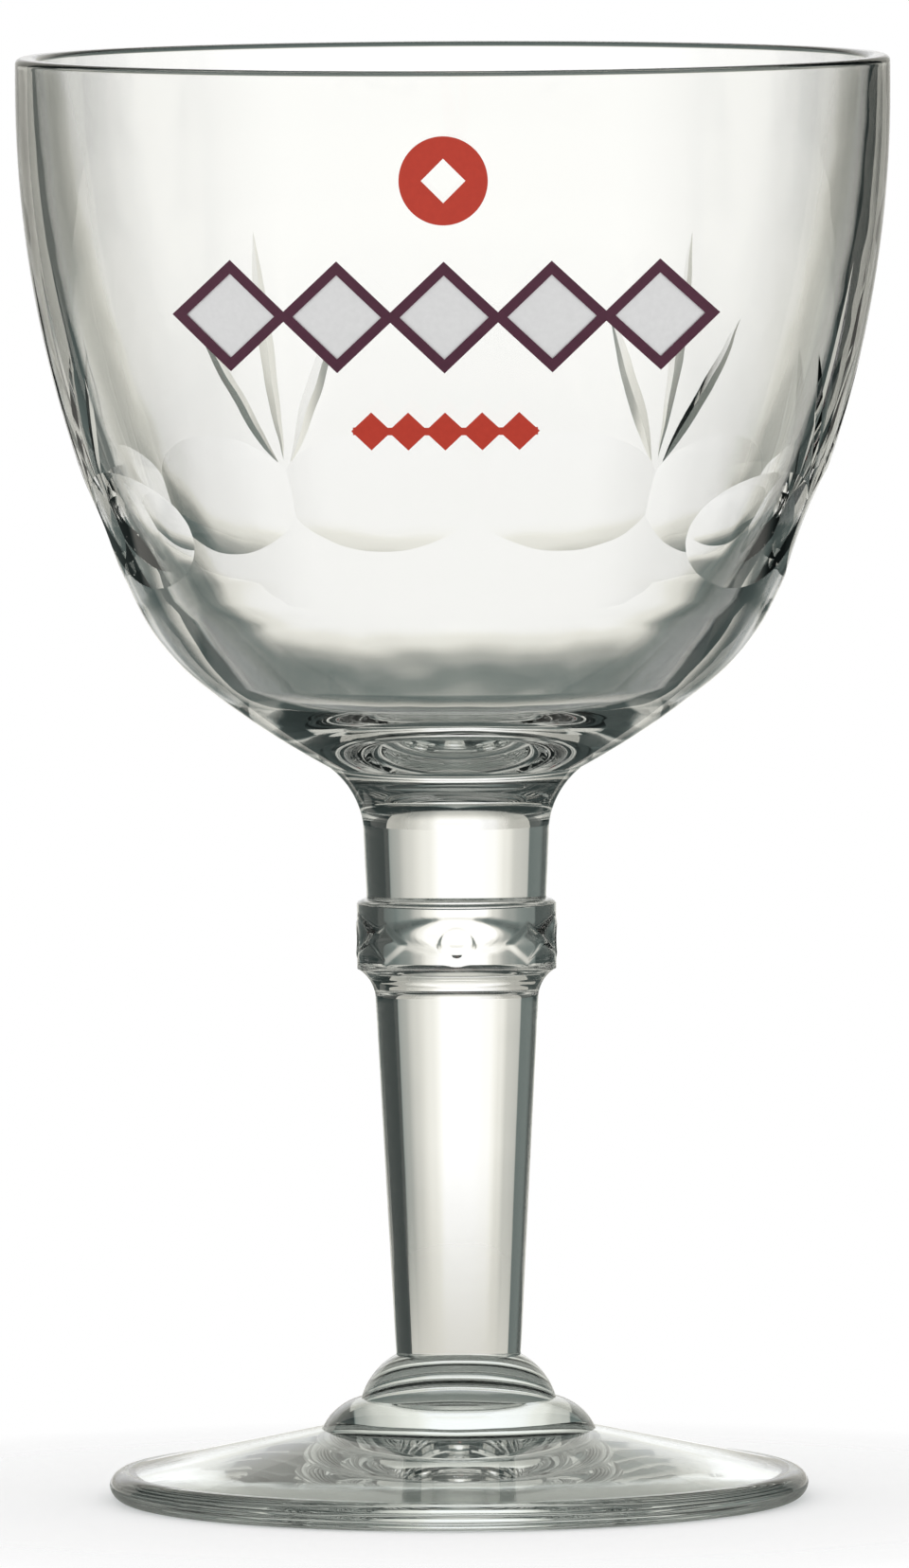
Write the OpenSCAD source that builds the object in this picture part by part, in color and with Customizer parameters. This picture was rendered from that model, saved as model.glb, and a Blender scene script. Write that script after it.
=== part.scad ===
// Stemmed beer chalice in pressed glass. A wide bowl with a ring of ground ovals and fans of
// mitre cuts, a solid stem with a collar, and a round foot, welded end to end while hot. The front
// of the bowl is left plain for a print in three fired enamels.
// The origin is the centre of the resting face, +Z is up, and the print faces -Y.

/* [Bowl] */
// Height of the bowl, from the weld with the stem to the lip
bowl_height = 86; // [70:1:110]
// Widest diameter of the bowl, just under the lip
bowl_diameter = 105.8; // [90:0.2:120]
// Thickness of the wall at the lip
lip_thickness = 2.4; // [1.8:0.1:3.2]
// Depth below the lip at which the bowl is widest
widest_drop = 4; // [2.5:0.5:8]
// Thickness of the glass under the inside of the bowl
bottom_thickness = 3.7; // [2:0.1:9]

/* [Ground ring of ovals] */
// Number of ovals, an even number
oval_count = 8; // [8:2:12]
// Angle at the front that is left plain for the print
plain_angle = 90; // [80:1:120]
// Height of the middle of the ovals above the weld
oval_rise = 29.8; // [28:0.1:34]
// Height of an oval, along the wall
oval_length = 15.2; // [10:0.2:17]
// Depth of the ridge where two ovals meet
ridge_depth = 0.1; // [0.05:0.01:0.2]
// Turn of the whole cut pattern about the axis, in degrees
pattern_turn = -3.4; // [-20:0.2:20]

/* [Fans of mitre cuts] */
// Length of the upright cut of a fan
upright_cut_length = 28.5; // [20:0.5:32]
// Length of the slanting cuts of a fan
slant_cut_length = 21; // [14:0.2:24]
// Lean of the slanting cuts from the upright one, in degrees
slant_lean = 28; // [18:1:34]
// Depth of a cut at its middle
cut_depth = 0.55; // [0.4:0.05:0.8]
// Angle of the edge of the cutting wheel, in degrees
cut_angle = 132; // [90:2:140]
// Depth of the foot of a fan below the top of the ovals, in the notch between two of them
fan_drop = 4.4; // [2:0.1:5.5]

/* [Stem] */
// Length of the stem, from the weld with the foot to the weld with the bowl
stem_length = 71.5; // [60:0.5:90]
// Diameter at the weld with the bowl
bowl_weld_diameter = 31; // [28:0.5:34]
// Diameter at the weld with the foot
foot_weld_diameter = 15.1; // [13:0.1:17]
// Diameter of the shank where it meets the collar
shank_diameter = 19.8; // [18:0.2:21.6]
// Diameter of the neck over the collar
neck_diameter = 21.8; // [20:0.2:23]
// Diameter of the collar
collar_diameter = 24.2; // [23.6:0.2:28]
// Height of the collar, with its lower moulding
collar_height = 11.8; // [10:0.2:15]
// Distance from the top of the collar to the weld with the bowl
collar_drop = 16; // [14:0.5:22]
// Number of lozenges in relief round the collar
relief_count = 8; // [4:1:10]
// Height of the relief over the collar
relief_height = 0.2; // [0.1:0.05:0.6]

/* [Foot] */
// Height of the foot, from the table to the weld with the stem
foot_height = 17.5; // [14:0.5:22]
// Diameter of the foot
foot_diameter = 84.8; // [70:0.2:96]
// Thickness of the foot at its edge
foot_edge = 3.5; // [2.6:0.1:5]
// Diameter of the round step under the dome
step_diameter = 33.2; // [29:0.2:36]
// Diameter of the dome on the step
dome_diameter = 23.6; // [20:0.2:26]
// Width of the ring that the glass rests on
rest_width = 1.6; // [1:0.1:3]
// Rise of the hollow under the foot
kick_height = 4.2; // [1:0.1:5]

/* [Print] */
// Width of the row of large lozenges
band_width = 64; // [48:1:68]
// Number of large lozenges
band_count = 5; // [3:2:7]
// Height of the large lozenges
band_height = 13.4; // [9:0.2:16]
// Depth of the middle of the row below the lip
band_drop = 29.3; // [26:0.1:34]
// Width of the outline of the lozenges
outline_width = 1.2; // [0.8:0.1:2]
// Diameter of the round badge
badge_diameter = 10.6; // [8:0.2:12]
// Depth of the middle of the badge below the lip
badge_drop = 13; // [11:0.5:15]
// Width of the row of small lozenges
line_width = 22; // [14:1:30]
// Number of small lozenges
line_count = 5; // [3:2:7]
// Height of the small lozenges
line_height = 4.6; // [3:0.2:6]
// Depth of the middle of the small row below the lip
line_drop = 43; // [40:0.5:46]
// Thickness of one coat of enamel
enamel = 0.15; // [0.1:0.05:0.3]
// Turn of the print about the axis, in degrees
print_turn = -1.3; // [-20:0.1:20]

/* [Hidden] */
$fa = 4;
$fs = 0.8;
overrun = 2;

glass_colour = [0.80, 0.84, 0.83, 0.55];
silver_colour = [0.80, 0.80, 0.78];
plum_colour = [0.36, 0.15, 0.25];
red_colour = [0.80, 0.23, 0.14];

// Heights of the welds and of the lip
foot_weld_z = foot_height;
bowl_weld_z = foot_height + stem_length;
lip_z = bowl_weld_z + bowl_height;

// Bowl, as points of a half section: [share of radius, share of height], and how far the arc
// that ends there bulges, as a share of its chord
bowl_radius = bowl_diameter / 2;
lip_radius = lip_thickness / 2;
cavity_radius = bowl_radius - lip_thickness;
cavity_z = bowl_weld_z + bottom_thickness;
cavity_depth = lip_z - cavity_z;
widest_z = lip_z - widest_drop;
hip_shares = [0.592, 0.123];
shoulder_shares = [0.72, 0.221];
hip_bulge_share = 0.0224;
shoulder_bulge_share = 0.0538;
side_bulge_share = 0.058;
inner_hip_shares = [0.4004, 0.0523];
inner_shoulder_shares = [0.6933, 0.2247];
inner_hip_bulge_share = 0.087;
inner_bottom_bulge_share = 0.0527;
inner_side_bulge_share = 0.055;
hip = [bowl_radius * hip_shares[0], bowl_weld_z + bowl_height * hip_shares[1]];
shoulder = [bowl_radius * shoulder_shares[0], bowl_weld_z + bowl_height * shoulder_shares[1]];
widest = [bowl_radius, widest_z];
inner_hip = [cavity_radius * inner_hip_shares[0], cavity_z + cavity_depth * inner_hip_shares[1]];
inner_shoulder = [
    cavity_radius * inner_shoulder_shares[0],
    cavity_z + cavity_depth * inner_shoulder_shares[1]
];

// Circle of the side of the bowl between the shoulder and the widest line
side_chord = norm(widest - shoulder);
side_bulge = side_bulge_share * side_chord;
side_circle = (side_chord * side_chord / 4 + side_bulge * side_bulge) / (2 * side_bulge);
side_centre = arc_centre(shoulder, widest, side_bulge_share);

// Ring of ovals
oval_pitch = (360 - plain_angle) / oval_count;
oval_z = bowl_weld_z + oval_rise;
oval_slope = side_slope(oval_z);
oval_floor_radius = (side_radius(oval_z) - ridge_depth) * cos(oval_pitch / 2);
oval_dip = (side_radius(oval_z) - oval_floor_radius) * cos(oval_slope);
oval_wheel = 1 / (8 * oval_dip / pow(oval_length, 2) - 1 / side_circle);
oval_drum_z = oval_z - oval_wheel * sin(oval_slope);
oval_top_z = oval_z + oval_length / 2 * cos(oval_slope);

// Fans, one over every second ridge
fan_count = oval_count / 2;
fan_z = oval_top_z - fan_drop;
fan_spread_share = 0.04;
mitre_rim_share = 4;

// Stem
collar_top_z = bowl_weld_z - collar_drop;
collar_bottom_z = collar_top_z - collar_height;
moulding_share = 0.28;
moulding_bulge_share = 0.12;
collar_edge_share = 0.5;
collar_ledge = (collar_diameter - neck_diameter) / 2;
flare_share = 0.44;
flare_bulge_share = 0.105;
neck_swell_share = 1.037;
relief_rise_share = 0.58;
relief_size_shares = [0.55, 0.36];

// Foot
foot_radius = foot_diameter / 2;
rest_inset_share = 0.66;
rest_inset = foot_edge * rest_inset_share;
rest_radius = foot_radius - rest_inset;
edge_bulge_share = 0.22;
edge_waist_share = 0.53;
cone_slope_share = 0.214;
step_rise_share = 0.42;
step_z = foot_edge + (rest_radius - step_diameter / 2) * cone_slope_share;
dome_z = step_z + (foot_height - step_z) * step_rise_share;
step_bulge_share = 0.12;
dome_bulge_share = 0.1;
kick_bulge_share = 0.03;

// Print
band_z = lip_z - band_drop;
band_pitch = band_width / band_count;
badge_z = lip_z - badge_drop;
line_z = lip_z - line_drop;
line_pitch = line_width / line_count;
lozenge_overlap_share = 1.1;
window_share = 0.5;
line_bar_share = 0.2;

// Centre of the arc from p to q that bulges to the right of the way by a share of its chord
function arc_centre(p, q, share) =
    let (
        way = (q - p) / norm(q - p),
        side = [way[1], -way[0]],
        radius = norm(q - p) * (1 / 4 + share * share) / (2 * share)
    )
    (p + q) / 2 + side * (norm(q - p) * share - radius);

// Points of that arc after p, as far as q
function arc_points(p, q, share, steps) =
    let (
        way = (q - p) / norm(q - p),
        side = [way[1], -way[0]],
        radius = norm(q - p) * (1 / 4 + share * share) / (2 * share),
        half = 2 * atan(2 * share),
        centre = arc_centre(p, q, share)
    )
    [
        for (i = [1:steps])
            let (a = half * (2 * i / steps - 1))
            centre + radius * (side * cos(a) + way * sin(a))
    ];

// Radius and slope of the side of the bowl at a height
function side_radius(z) = side_centre[0] + sqrt(pow(side_circle, 2) - pow(z - side_centre[1], 2));
function side_slope(z) = asin((side_centre[1] - z) / side_circle);

// Outside of the bowl, from the weld up to the lip
bowl_outside = concat(
    [[bowl_weld_diameter / 2, bowl_weld_z]],
    arc_points([bowl_weld_diameter / 2, bowl_weld_z], hip, hip_bulge_share, 4),
    arc_points(hip, shoulder, shoulder_bulge_share, 4),
    arc_points(shoulder, widest, side_bulge_share, 12),
    [[bowl_radius, lip_z - lip_radius]]
);

// Inside of the bowl, from the lip down to the axis
bowl_inside = concat(
    arc_points(
        [bowl_radius, lip_z - lip_radius], [cavity_radius, lip_z - lip_radius], 1 / 2, 6
    ),
    arc_points([cavity_radius, lip_z - lip_radius], inner_shoulder, -inner_side_bulge_share, 12),
    arc_points(inner_shoulder, inner_hip, -inner_hip_bulge_share, 4),
    arc_points(inner_hip, [0, cavity_z], -inner_bottom_bulge_share, 5)
);

// Level grinding drum that cuts one oval, flat across and hollow up and down
module oval_cutter() {
    translate([oval_floor_radius + oval_wheel * cos(oval_slope), 0, oval_drum_z])
        rotate([90, 0, 0])
            cylinder(h = bowl_radius, r = oval_wheel, center = true);
}

// Wheel with a V edge that cuts one stroke of a fan: thickest in the middle, fine at both ends
module mitre_wheel(length, curve) {
    radius = 1 / (8 * cut_depth / pow(length, 2) - 1 / curve);
    reach = cut_depth * mitre_rim_share;
    half_width = reach * tan(cut_angle / 2);
    translate([radius - cut_depth, 0, 0])
        rotate([90, 0, 0])
            for (face = [0, 1])
                mirror([0, 0, face])
                    cylinder(h = half_width, r1 = radius, r2 = radius - reach);
}

// One stroke, set on the side of the bowl from a starting height, offset and lean
module stroke(length, lean, spread) {
    slope = side_slope(fan_z + length / 2 * cos(lean));
    middle_z = fan_z + length / 2 * cos(lean) * cos(slope);
    middle_radius = side_radius(middle_z);
    turn = (length / 2 * sin(lean) + spread) / middle_radius * 180 / PI;
    girth = middle_radius / cos(slope);
    curve = 1 / (pow(cos(lean), 2) / side_circle + pow(sin(lean), 2) / girth);
    rotate([0, 0, turn])
        translate([middle_radius, 0, middle_z])
            rotate([0, slope, 0])
                rotate([-lean, 0, 0])
                    mitre_wheel(length, curve);
}

// Three strokes that open upwards from one ridge
module fan() {
    stroke(upright_cut_length, 0, 0);
    stroke(slant_cut_length, slant_lean, slant_cut_length * fan_spread_share);
    stroke(slant_cut_length, -slant_lean, -slant_cut_length * fan_spread_share);
}

module bowl() {
    color(glass_colour)
        difference() {
            rotate_extrude()
                polygon(concat(bowl_outside, bowl_inside, [[0, bowl_weld_z]]));
            rotate([0, 0, pattern_turn - 90 + plain_angle / 2]) {
                for (i = [0:oval_count - 1])
                    rotate([0, 0, (i + 1 / 2) * oval_pitch])
                        oval_cutter();
                for (i = [0:fan_count - 1])
                    rotate([0, 0, (2 * i + 1) * oval_pitch])
                        fan();
            }
        }
}

// Lozenge of a width and a height, in the XY plane
module lozenge(width, height) {
    polygon([[width / 2, 0], [0, height / 2], [-width / 2, 0], [0, -height / 2]]);
}

module stem() {
    bowl_end = [bowl_weld_diameter / 2, bowl_weld_z];
    shank_top = [shank_diameter / 2, collar_bottom_z];
    collar_low = [collar_diameter / 2, collar_bottom_z + collar_height * moulding_share];
    collar_high = [collar_diameter / 2, collar_top_z - collar_ledge * collar_edge_share];
    neck_low = [neck_diameter / 2, collar_top_z];
    neck_high = [
        neck_diameter / 2 * neck_swell_share, bowl_weld_z - collar_drop * flare_share
    ];
    outline = concat(
        [[0, foot_weld_z], [foot_weld_diameter / 2, foot_weld_z], shank_top],
        arc_points(shank_top, collar_low, -moulding_bulge_share, 5),
        arc_points(collar_high, neck_low, moulding_bulge_share, 3),
        [neck_high],
        arc_points(neck_high, bowl_end, -flare_bulge_share, 8),
        [[0, bowl_weld_z]]
    );
    relief_z = collar_bottom_z + collar_height * relief_rise_share;
    relief_width = PI * collar_diameter / relief_count * relief_size_shares[0];
    color(glass_colour)
        union() {
            rotate_extrude()
                polygon(outline);
            intersection() {
                translate([0, 0, collar_bottom_z])
                    cylinder(h = collar_height, d = collar_diameter + 2 * relief_height);
                for (i = [0:relief_count - 1])
                    rotate([0, 0, i * 360 / relief_count])
                        translate([0, 0, relief_z])
                            rotate([90, 0, 0])
                                linear_extrude(collar_diameter)
                                    lozenge(relief_width, collar_height * relief_size_shares[1]);
            }
        }
}

module foot() {
    rest = [rest_radius, 0];
    edge = [foot_radius, foot_edge * edge_waist_share];
    brim = [rest_radius, foot_edge];
    step = [step_diameter / 2, step_z];
    dome = [dome_diameter / 2, dome_z];
    top = [foot_weld_diameter / 2, foot_weld_z];
    kick = [rest_radius - rest_width, 0];
    outline = concat(
        [rest],
        arc_points(rest, edge, edge_bulge_share, 4),
        arc_points(edge, brim, edge_bulge_share, 4),
        [step],
        arc_points(step, dome, step_bulge_share, 5),
        arc_points(dome, top, dome_bulge_share, 5),
        [[0, foot_weld_z], [0, kick_height]],
        arc_points([0, kick_height], kick, -kick_bulge_share, 6)
    );
    color(glass_colour)
        rotate_extrude()
            polygon(outline);
}

// Skin on the side of the bowl, from one coat of enamel to another
module skin(inner_coat, outer_coat) {
    side = [for (p = bowl_outside) if (p[1] >= shoulder[1]) p];
    rotate_extrude()
        polygon(concat(
            [for (p = side) p + [enamel * inner_coat, 0]],
            [for (i = [len(side) - 1:-1:0]) side[i] + [enamel * outer_coat, 0]]
        ));
}

// Flat figure printed through a screen on the front of the bowl at a height, as one coat
module printed(z, inner_coat) {
    intersection() {
        skin(inner_coat, inner_coat + 1);
        rotate([0, 0, print_turn])
            translate([0, 0, z])
                rotate([90, 0, 0])
                    linear_extrude(bowl_radius + overrun)
                        children();
    }
}

// Row of lozenges, drawn inwards by an inset from the outline of the row
module lozenge_row(count, pitch, height, inset) {
    width = pitch * lozenge_overlap_share;
    edge_share = 1 - inset * 2 * norm([width, height]) / (width * height);
    for (i = [0:count - 1])
        translate([(i - (count - 1) / 2) * pitch, 0])
            lozenge(width * edge_share, height * edge_share);
}

module silver_print() {
    color(silver_colour)
        printed(band_z, 0)
            lozenge_row(band_count, band_pitch, band_height, 0);
}

module plum_print() {
    color(plum_colour)
        printed(band_z, 1)
            difference() {
                lozenge_row(band_count, band_pitch, band_height, 0);
                lozenge_row(band_count, band_pitch, band_height, outline_width);
            }
}

module red_badge() {
    color(red_colour)
        printed(badge_z, 0)
            difference() {
                circle(d = badge_diameter);
                lozenge(badge_diameter * window_share, badge_diameter * window_share);
            }
}

module red_line() {
    color(red_colour)
        printed(line_z, 0)
            union() {
                lozenge_row(line_count, line_pitch, line_height, 0);
                square([line_width, line_height * line_bar_share], center = true);
            }
}

bowl();
stem();
foot();
silver_print();
plum_print();
red_badge();
red_line();
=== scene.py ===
import math

import bmesh
import bpy
import numpy as np
from mathutils import Matrix, Vector


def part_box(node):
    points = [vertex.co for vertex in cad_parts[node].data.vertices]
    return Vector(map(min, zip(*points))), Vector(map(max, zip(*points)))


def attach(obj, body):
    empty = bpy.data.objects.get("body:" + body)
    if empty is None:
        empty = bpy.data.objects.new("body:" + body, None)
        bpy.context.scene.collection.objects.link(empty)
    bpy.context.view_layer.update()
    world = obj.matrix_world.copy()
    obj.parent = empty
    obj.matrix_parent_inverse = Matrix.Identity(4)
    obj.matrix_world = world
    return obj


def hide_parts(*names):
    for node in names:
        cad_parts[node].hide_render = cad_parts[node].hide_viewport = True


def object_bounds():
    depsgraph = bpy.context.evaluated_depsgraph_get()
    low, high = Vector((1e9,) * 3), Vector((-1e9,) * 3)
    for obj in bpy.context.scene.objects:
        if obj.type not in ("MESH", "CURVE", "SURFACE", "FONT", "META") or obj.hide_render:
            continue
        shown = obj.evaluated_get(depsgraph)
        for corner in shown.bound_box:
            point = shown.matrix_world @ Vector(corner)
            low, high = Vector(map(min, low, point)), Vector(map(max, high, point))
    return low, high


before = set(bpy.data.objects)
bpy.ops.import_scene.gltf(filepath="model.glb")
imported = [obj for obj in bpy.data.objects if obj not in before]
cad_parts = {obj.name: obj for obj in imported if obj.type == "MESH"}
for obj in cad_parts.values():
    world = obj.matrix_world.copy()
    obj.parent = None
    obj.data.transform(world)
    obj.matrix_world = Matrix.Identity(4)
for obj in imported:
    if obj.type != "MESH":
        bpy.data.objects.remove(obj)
cad_low, cad_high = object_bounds()

# Everything below is in millimetres until a mesh is made, and MM turns it to metres
MM = 0.001

# Sizes of the glass, read from the frame
bowl_low, bowl_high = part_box("bowl")
stem_low, stem_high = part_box("stem")
BOWL_WELD_Z = bowl_low.z / MM
FOOT_WELD_Z = stem_low.z / MM
LIP_Z = bowl_high.z / MM
BOWL_HEIGHT = LIP_Z - BOWL_WELD_Z
BOWL_RADIUS = (cad_high.x - cad_low.x) / 2 / MM
BOWL_WELD_RADIUS = (stem_high.x - stem_low.x) / 2 / MM

# Bowl. Places are shares of its radius and height, and an arc's bulge is a share of its chord,
# where a negative one is hollow
LIP_THICKNESS = 2.4
LIP_ROUNDING = 0.8
WIDEST_DROP = 4.0
BOTTOM_THICKNESS = 3.7
HIP_SHARES = (0.592, 0.123)
SHOULDER_SHARES = (0.72, 0.221)
INNER_HIP_SHARES = (0.4004, 0.0523)
INNER_SHOULDER_SHARES = (0.6933, 0.2247)
BOTTOM_BULGE = 0.0224
HIP_BULGE = 0.0538
SIDE_BULGE = 0.058
INNER_SIDE_BULGE = -0.055
INNER_HIP_BULGE = -0.087
INNER_BOTTOM_BULGE = -0.0527
QUARTER_CIRCLE_BULGE = (math.sqrt(2) - 1) / 2

# Ring of ground ovals and fans of mitre cuts, which leaves a plain stretch at the front. Angles
# are in degrees from +X
FRONT_ANGLE = -90.0
PLAIN_ANGLE = 90.0
OVAL_COUNT = 8
PATTERN_TURN = -3.4
OVAL_RISE = 29.8
OVAL_LENGTH = 15.2
OVAL_DEPTH = 0.7
RIDGE_DEPTH = 0.1
FAN_DROP = 4.4
UPRIGHT_CUT_LENGTH = 28.5
SLANT_CUT_LENGTH = 21.0
SLANT_LEAN = 28.0
SLANT_SPREAD_SHARE = 0.04
CUT_DEPTH = 0.33
CUT_ANGLE = 148.0

# The cutting wheels stand out past what they cut, so that no edge of theirs is left in the glass
OVAL_ARC_SHARE = 0.68
OVAL_SPARE_WIDTH = 2.2
OVAL_CUTTER_THICKNESS = 12.0
OVAL_CUTTER_COLUMNS = 48
OVAL_CUTTER_ROWS = 32
STROKE_ARC_SHARE = 0.6
STROKE_REACH_SHARE = 4
STROKE_CUTTER_STEPS = 40

# Stem
SHANK_RADIUS = 9.9
FOOT_WELD_RADIUS = 7.55
NECK_RADIUS = 10.9
NECK_TOP_RADIUS = 11.3
COLLAR_RADIUS = 12.1
COLLAR_HEIGHT = 11.8
COLLAR_DROP = 16.0
COLLAR_SLOPE_SHARE = 0.28
COLLAR_SLOPE_BULGE = -0.12
COLLAR_LEDGE_BULGE = 0.12
FLARE_SHARE = 0.44
FLARE_BULGE = -0.105

# Relief on the collar: lozenges and small rings in turn, with soft edges
RELIEF_HEIGHT = 0.1
RELIEF_COUNT = 8
RELIEF_DROP_SHARE = 0.42
RELIEF_REACH = 3.4
RELIEF_SOFT_EDGE = (-0.35, 0.4)
RELIEF_FREE_REACH = 3.3
LOZENGE_HALF_WIDTH = 3.0
LOZENGE_HALF_HEIGHT = 2.2
LOZENGE_INNER_RADIUS = 1.7
RING_RADIUS = 1.7
RING_HALF_WIDTH = 0.45
RELIEF_Z = BOWL_WELD_Z - COLLAR_DROP - COLLAR_HEIGHT * RELIEF_DROP_SHARE

# Foot
FOOT_RADIUS = 42.4
FOOT_EDGE = 3.5
STEP_RADIUS = 16.6
DOME_RADIUS = 11.8
REST_WIDTH = 1.6
REST_INSET_SHARE = 0.66
EDGE_HEIGHT_SHARE = 0.53
FOOT_SLOPE = 0.214
DOME_RISE_SHARE = 0.42
EDGE_BULGE = 0.22
STEP_BULGE = 0.12
DOME_BULGE = 0.1
KICK_HEIGHT = 4.2
KICK_BULGE = -0.03

# Columns of faces round the axis, which end in one point where the radius is nearly nothing
BOWL_COLUMNS = 288
STEM_COLUMNS = 384
FOOT_COLUMNS = 288
POINT_RADIUS = 1e-6

# A face is part of the turned outline within this gap and angle, or near the axis. A corner is
# drawn a little towards its face's centre, and cut faces are blended up to the crease angle.
# So many points are worked out at once, to save memory
OUTLINE_GAP = 0.03
OUTLINE_ANGLE = 4.0
AXIS_RADIUS = 1.0
CORNER_PULL = 0.02
CREASE_ANGLE = 22.0
POINTS_AT_ONCE = 20000

# A face is part of a weld when it is level and this near to the weld's height
LEVEL_NORMAL = 0.999
WELD_GAP = 0.01

# Camera, found from the ellipses of the rim and the foot
CAMERA_DISTANCE = 2668.0
CAMERA_HEIGHT = 268.0
CAMERA_AIM = (-0.17, 0.0, 86.8)
CAMERA_ROLL = 0.266
CAMERA_LENS = 507.0
CAMERA_SENSOR_WIDTH = 36.0

# Table. Seen through the glass it has painted shade under and behind the glass and painted lighter
# and darker patches beside it, written as (share of a half turn from straight behind, level) and as
# (metres from the axis, level), and it fades away between two distances
TABLE_REACH = 700.0
TABLE_FADE = (30.0, 100.0)
TABLE_PAINTED_LIGHT_AND_SHADE_BESIDE = ((0.19, 0.0), (0.23, 0.45), (0.3, 0.45), (0.35, 0.1), (0.56, 0.1), (0.62, 0.45))
TABLE_PAINTED_SHADE_BEHIND = ((0.04, 0.4), (0.055, 0.2), (0.12, 0.17))

# Cards at the back: dark ones on both sides, a pale one low down and a veil that thins out
# towards the middle. Each has two sides along X and two heights
CARD_DISTANCE = 190.0
SIDE_CARD_HEIGHTS = (84.0, 420.0)
RIGHT_CARD = (138.0, 540.0)
LEFT_CARD = (-160.0, -560.0)
LOW_CARD = (-160.0, 138.0)
LOW_CARD_HEIGHTS = (0.0, 40.0)
# Densities of the thin cards, at shares of this distance
CARD_REACH = 200.0
LOW_DENSITIES = ((0.0, 1.0), (0.2, 0.0))
VEIL_DENSITIES = ((0.12, 0.0), (0.225, 0.13), (0.35, 0.36), (0.45, 0.8), (0.65, 1.0))

# Light of the screen that the glass sees, where 1 is the white that the camera sees
SCREEN_LEVEL = 1.15
# Levels of the screen behind the glass, at degrees to the right of straight behind and at
# degrees above the horizon
SCREEN_ACROSS = (
    (-66, 0.03), (-56, 0.16), (-42, 0.15), (-40.5, 0.5), (-31, 0.58), (-24, 0.82), (-16, 0.96),
    (-8, 1.0), (6, 1.0), (13, 0.8), (22, 0.62), (32, 0.36), (35.5, 0.3), (36.5, 0.0),
)
SCREEN_UP = (
    (-60, 0.05), (-30, 0.08), (-15, 0.13), (-13, 0.2), (-11.8, 0.34), (-9.6, 0.8), (-8, 0.97),
    (9, 1.0), (13, 0.6), (18, 0.2), (26, 0.07), (50, 0.1), (90, 0.12),
)
# The screen's lower edge rises to the sides: shares of a half turn, at such shares aside
SCREEN_EDGE_RISE = ((0.035, 0.0), (0.06, 0.018), (0.085, 0.034), (0.13, 0.042), (0.2, 0.045))
# Reflections on the foot see the screen's soft upper edge
REFLECTED_UP = ((0, 0.0), (13, 1.0), (29, 0.55), (60, 0.3))

# Dimmer screens at both sides and pale walls low down, for the views from other sides. The
# screens' width is written on how far a direction points along X, and the walls beside and in
# front are at shares of a half turn from straight behind
SIDE_SCREEN_LEVEL = 0.6
SIDE_SCREEN_WIDTH = ((0.96, 0.0), (0.98, 1.0))
SIDE_SCREEN_UP = ((-16, 0.0), (-12, 1.0), (10, 1.0), (14, 0.0))
BESIDE_WALL_ASIDE = ((0.24, 0.0), (0.28, 0.55))
BESIDE_WALL_UP = ((-25, 0.0), (-21, 1.0), (-12, 1.0), (-9, 0.0))
LEFT_WALL_ACROSS = ((-55, 0.0), (-51, 0.56), (-40, 0.56), (-36, 0.0))
LEFT_WALL_UP = ((-32, 0.0), (-29, 1.0), (-16, 1.0), (-12, 0.0))
FRONT_WALL_ASIDE = ((0.54, 0.0), (0.62, 0.42))
FRONT_WALL_UP = ((-34, 0.0), (-28, 1.0), (10, 1.0), (25, 0.0))

# Light of the studio between darkest and brightest: green grey in the dark, a little warm above. The
# table's painted shade and light take these colours too
STUDIO_DARKEST = "#2C3332"
STUDIO_BRIGHTEST = "#FFFFFF"
STUDIO_BETWEEN = (
    (0.06, "#454E4C"), (0.16, "#68726F"), (0.4, "#A9AAA4"), (0.68, "#D8D7CF"), (0.86, "#F1F0E9"),
)

# Glass: waves that the mould leaves, about 9 mm long. Most of them are about a third as high as
# the noise's full range, which is given here
WAVES_PER_METRE = 110.0
WAVE_HEIGHT = 0.03
SODA_LIME_IOR = 1.52

# Enamel: mottle of its pigment, about 0.7 mm, and the grain that it leaves
MOTTLES_PER_METRE = 1400.0
GRAIN_HEIGHT = 0.02
ENAMEL_ROUGHNESS = 0.35


def linear(hex_colour):
    """A colour written as sRGB hex, as the linear values that shaders take."""
    parts = [int(hex_colour[i : i + 2], 16) / 255 for i in (1, 3, 5)]
    return [p / 12.92 if p <= 0.04045 else ((p + 0.055) / 1.055) ** 2.4 for p in parts] + [1.0]


def add(tree, kind, links=(), **settings):
    """A node with its settings; links are (input, socket that feeds it)."""
    made = tree.nodes.new(kind)
    for name, value in settings.items():
        if hasattr(made, name):
            setattr(made, name, value)
        else:
            made.inputs[name.replace("_", " ")].default_value = value
    for name, source in links:
        tree.links.new(source, made.inputs[name])
    return made


def new_material(name):
    """An empty node material and its output node."""
    made = bpy.data.materials.new(name)
    made.use_nodes = True
    made.node_tree.nodes.clear()
    return made, made.node_tree, made.node_tree.nodes.new("ShaderNodeOutputMaterial")


def noise(tree, scale, detail):
    """Noise in the piece's own space, with this many waves to the metre."""
    place = add(tree, "ShaderNodeTexCoord")
    made = add(
        tree, "ShaderNodeTexNoise", [("Vector", place.outputs["Object"])], Scale=scale, Detail=detail
    )
    return made.outputs["Fac"]


def soda_lime_glass(name, tint):
    """Pressed soda-lime glass, fire polished: clear, faintly grey green, slightly wavy."""
    made, tree, out = new_material(name)
    waves = noise(tree, WAVES_PER_METRE, 1.0)
    wavy = add(
        tree, "ShaderNodeBump", [("Height", waves)], Strength=1.0, Distance=WAVE_HEIGHT * MM
    )
    glass = add(
        tree,
        "ShaderNodeBsdfPrincipled",
        [("Normal", wavy.outputs["Normal"])],
        Base_Color=linear(tint),
        Roughness=0.0,
        IOR=SODA_LIME_IOR,
    )
    glass.inputs["Transmission Weight"].default_value = 1.0
    tree.links.new(glass.outputs["BSDF"], out.inputs["Surface"])
    return made


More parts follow.
